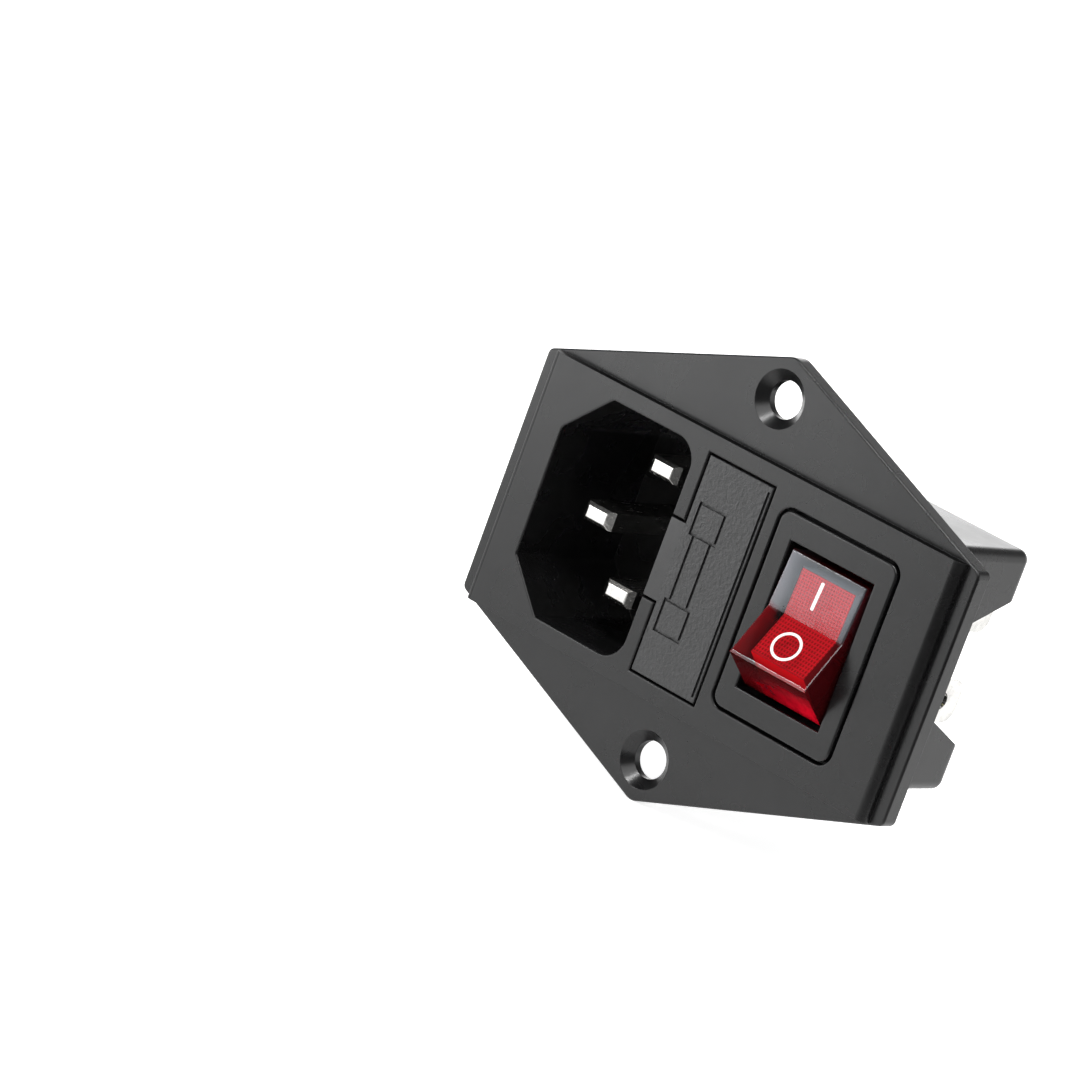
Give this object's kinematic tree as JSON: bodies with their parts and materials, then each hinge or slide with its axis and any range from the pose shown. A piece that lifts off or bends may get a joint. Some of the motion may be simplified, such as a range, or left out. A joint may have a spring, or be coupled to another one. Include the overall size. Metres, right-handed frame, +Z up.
{
  "type": "panel power inlet with fuse drawer and rocker switch",
  "caption": "Panel-mount mains inlet: hexagonal black flange with recessed blade pins, a slide-out fuse drawer and a lit red rocker switch; solder tags at the back.",
  "frame": {"origin": "midway between the two screw holes, on the flange's back face, which lies on the panel", "axes": "+X along the flange from the inlet to the switch, -Y out of the panel towards the user, +Z up"},
  "size_m": [0.0586, 0.0352, 0.049],
  "materials": {
    "housing_black": "semi-gloss moulded",
    "drawer_black": "fine matt moulded",
    "bezel_black": "satin moulded",
    "rocker_clear": "clear, polished",
    "rocker_red": "translucent, finely ribbed",
    "plated_brass": "nickel plated",
    "spring_steel": "bright",
    "fuse_glass": "clear",
    "lamp_glass": "clear",
    "plunger_nylon": "natural",
    "resistor_coat": "lacquered"
  },
  "bodies": {
    "frame": {"housing": "housing_black", "line_pin": "plated_brass", "neutral_pin": "plated_brass", "earth_pin": "plated_brass", "neutral_tag": "plated_brass", "earth_tag": "plated_brass", "fuse_tag": "plated_brass", "line_link": "plated_brass", "upper_fuse_clip": "plated_brass", "lower_fuse_clip": "plated_brass", "switch_frame": "bezel_black", "neon_lamp": "lamp_glass", "lamp_resistor": "resistor_coat", "line_centre_terminal": "plated_brass", "line_contact_terminal": "plated_brass", "neutral_centre_terminal": "plated_brass", "neutral_contact_terminal": "plated_brass"},
    "drawer": {"fuse_drawer": "drawer_black", "fuse_tube": "fuse_glass", "upper_fuse_cap": "plated_brass", "lower_fuse_cap": "plated_brass", "fuse_wire": "spring_steel"},
    "rocker": {"rocker": "rocker_clear", "rocker_lens": "rocker_red", "line_plunger": "plunger_nylon", "neutral_plunger": "plunger_nylon", "line_plunger_spring": "spring_steel", "neutral_plunger_spring": "spring_steel"},
    "line_blade": {"line_blade": "plated_brass"},
    "neutral_blade": {"neutral_blade": "plated_brass"}
  },
  "joints": [
    {"name": "rocker_tilt", "type": "hinge", "parent": "frame", "child": "rocker", "pos_m": [0.0137, -0.0007, 0], "axis": [1, 0, 0], "range_deg": [0, 41]},
    {"name": "drawer_slide", "type": "slide", "parent": "frame", "child": "drawer", "axis": [0, -1, 0], "range_m": [0, 0.014]},
    {"name": "line_blade_rock", "type": "hinge", "parent": "frame", "child": "line_blade", "pos_m": [0.0104, 0.0093, 0], "axis": [1, 0, 0], "range_deg": [-16, 0]},
    {"name": "neutral_blade_rock", "type": "hinge", "parent": "frame", "child": "neutral_blade", "pos_m": [0.017, 0.0093, 0], "axis": [1, 0, 0], "range_deg": [-16, 0]}
  ],
  "couplings": [
    {"joint": "line_blade_rock", "follows": "rocker_tilt", "ratio": -0.39},
    {"joint": "neutral_blade_rock", "follows": "rocker_tilt", "ratio": -0.39}
  ]
}
